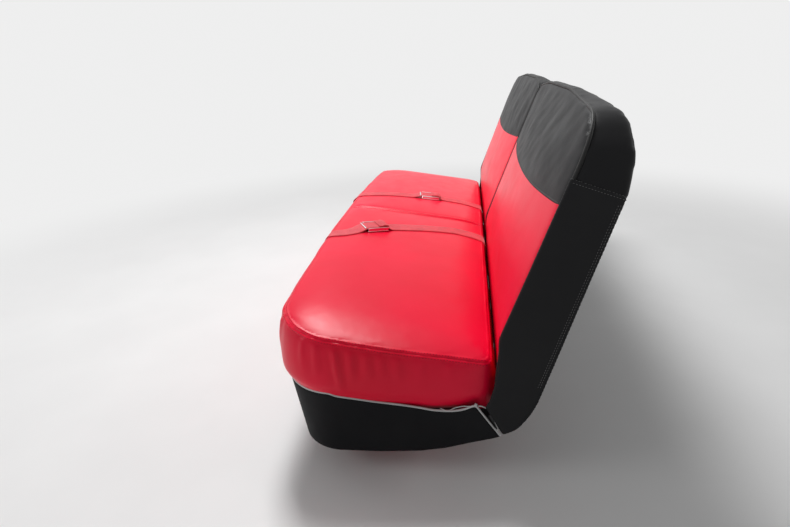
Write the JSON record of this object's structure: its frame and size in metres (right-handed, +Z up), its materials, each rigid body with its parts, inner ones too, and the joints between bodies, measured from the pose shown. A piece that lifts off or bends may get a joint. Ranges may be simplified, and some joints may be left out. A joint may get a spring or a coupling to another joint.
{
  "type": "car front bench seat",
  "caption": "Front bench seat for an open two-door car, with split backs that fold forward, a crowned cushion, side shields, lap belts and floor tracks.",
  "frame": {"origin": "centre of the four floor bolts, at floor level, under the middle of the cushion", "axes": "+X to the driver's side, -Y the way the seat faces, +Z up; the seat's middle line is the plane x = 0"},
  "size_m": [1.51, 0.6483, 0.729],
  "materials": {
    "red_vinyl": "smooth satin upholstery",
    "black_vinyl": "soft satin upholstery",
    "frame_paint": "satin black",
    "plated_steel": "dull zinc plate",
    "belt_webbing": "woven webbing",
    "buckle_chrome": "polished"
  },
  "bodies": {
    "floor_tracks": {"track_feet_left": "plated_steel", "track_feet_right": "plated_steel", "track_lower_left": "plated_steel", "track_lower_right": "plated_steel"},
    "seat_base": {"belt_left": "belt_webbing", "belt_right": "belt_webbing", "buckle_left": "buckle_chrome", "buckle_right": "buckle_chrome", "cushion": "red_vinyl", "frame_corner_left": "frame_paint", "frame_corner_right": "frame_paint", "frame_front": "frame_paint", "frame_rear": "frame_paint", "frame_runner_left": "frame_paint", "frame_runner_right": "frame_paint", "frame_side_left": "frame_paint", "frame_side_right": "frame_paint", "hinge_bracket_centre": "frame_paint", "hinge_bracket_left": "frame_paint", "hinge_bracket_right": "frame_paint", "lock_link": "plated_steel", "release_lever": "frame_paint", "shield_clips": "black_vinyl", "shield_left": "black_vinyl", "shield_right": "black_vinyl", "springs": "plated_steel", "tongue_right": "buckle_chrome", "track_upper_left": "plated_steel", "track_upper_right": "plated_steel", "valance_front": "black_vinyl"},
    "back_left": {"back_face_left": "red_vinyl", "back_panel_left": "black_vinyl", "back_shell_left": "black_vinyl", "back_yoke_left": "black_vinyl", "hinge_arm_inner_left": "plated_steel", "hinge_arm_outer_left": "plated_steel"},
    "back_right": {"back_face_right": "red_vinyl", "back_panel_right": "black_vinyl", "back_shell_right": "black_vinyl", "back_yoke_right": "black_vinyl", "hinge_arm_inner_right": "plated_steel", "hinge_arm_outer_right": "plated_steel"}
  },
  "joints": [
    {"name": "seat_slide", "type": "slide", "parent": "floor_tracks", "child": "seat_base", "axis": [0, 1, 0], "range_m": [-0.06, 0.05]},
    {"name": "left_back_fold", "type": "hinge", "parent": "seat_base", "child": "back_left", "pos_m": [0, 0.146, 0.295], "axis": [1, 0, 0], "range_deg": [0, 60]},
    {"name": "right_back_fold", "type": "hinge", "parent": "seat_base", "child": "back_right", "pos_m": [0, 0.146, 0.295], "axis": [1, 0, 0], "range_deg": [0, 60]}
  ]
}
